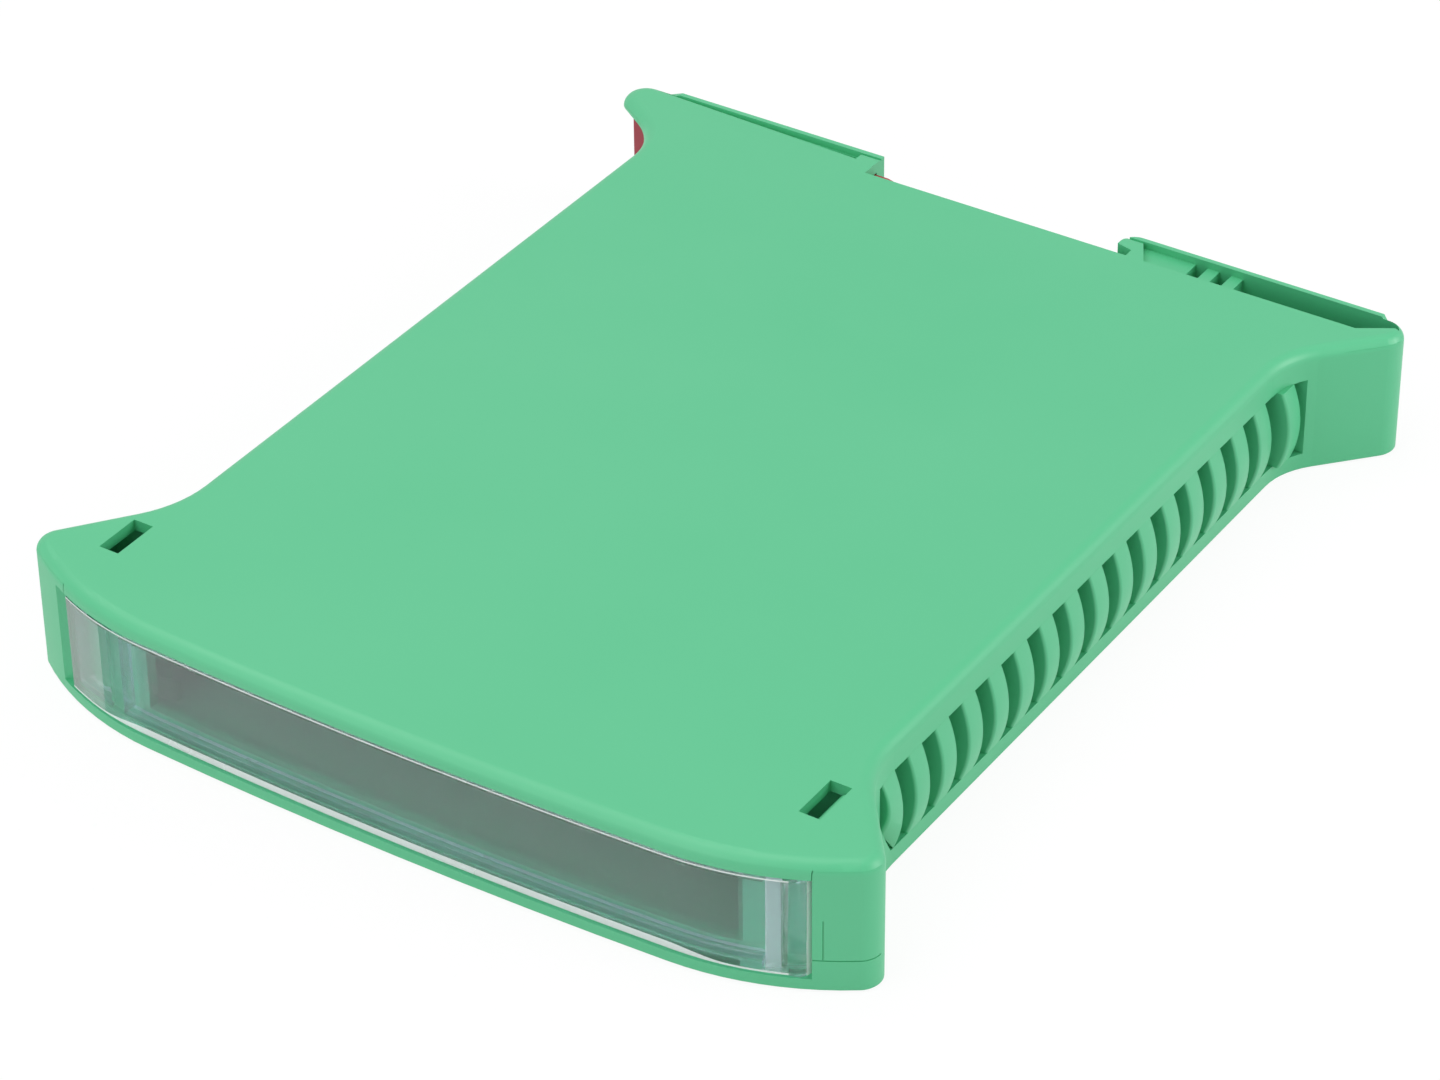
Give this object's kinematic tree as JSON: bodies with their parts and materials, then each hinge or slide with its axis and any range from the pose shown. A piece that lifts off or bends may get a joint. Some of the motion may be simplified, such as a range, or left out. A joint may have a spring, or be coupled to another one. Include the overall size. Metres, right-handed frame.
{
  "type": "din rail enclosure",
  "caption": "Narrow moulded DIN rail module housing with curved front, hinged clear cover, louvred flanks, rail hook and sprung foot latch.",
  "frame": {"origin": "middle of the underside of the housing as it lies on its flat side", "axes": "+Z across the module, along the rail; -Y towards the front cover; +Y towards the rail; +X towards the fixed hook"},
  "size_m": [0.1163, 0.1378, 0.0175],
  "materials": {
    "green_housing": "fine spark-eroded moulded ABS, green",
    "clear_cover": "polished moulded polycarbonate, clear",
    "red_latch": "moulded polyamide, red"
  },
  "bodies": {
    "housing": {"base_shell": "green_housing", "side_cover": "green_housing", "right_vent_grille": "green_housing", "left_vent_grille": "green_housing"},
    "cover": {"front_cover": "clear_cover"},
    "latch": {"foot_latch": "red_latch"}
  },
  "joints": [
    {"name": "cover_hinge", "type": "hinge", "parent": "housing", "child": "cover", "pos_m": [0.05005, -0.0627, 0.0082], "axis": [0, 0, 1], "range_deg": [0, 90]},
    {"name": "latch_slide", "type": "slide", "parent": "housing", "child": "latch", "axis": [-1, 0, 0], "range_m": [0, 0.003], "stiffness_N_per_m": 300}
  ]
}
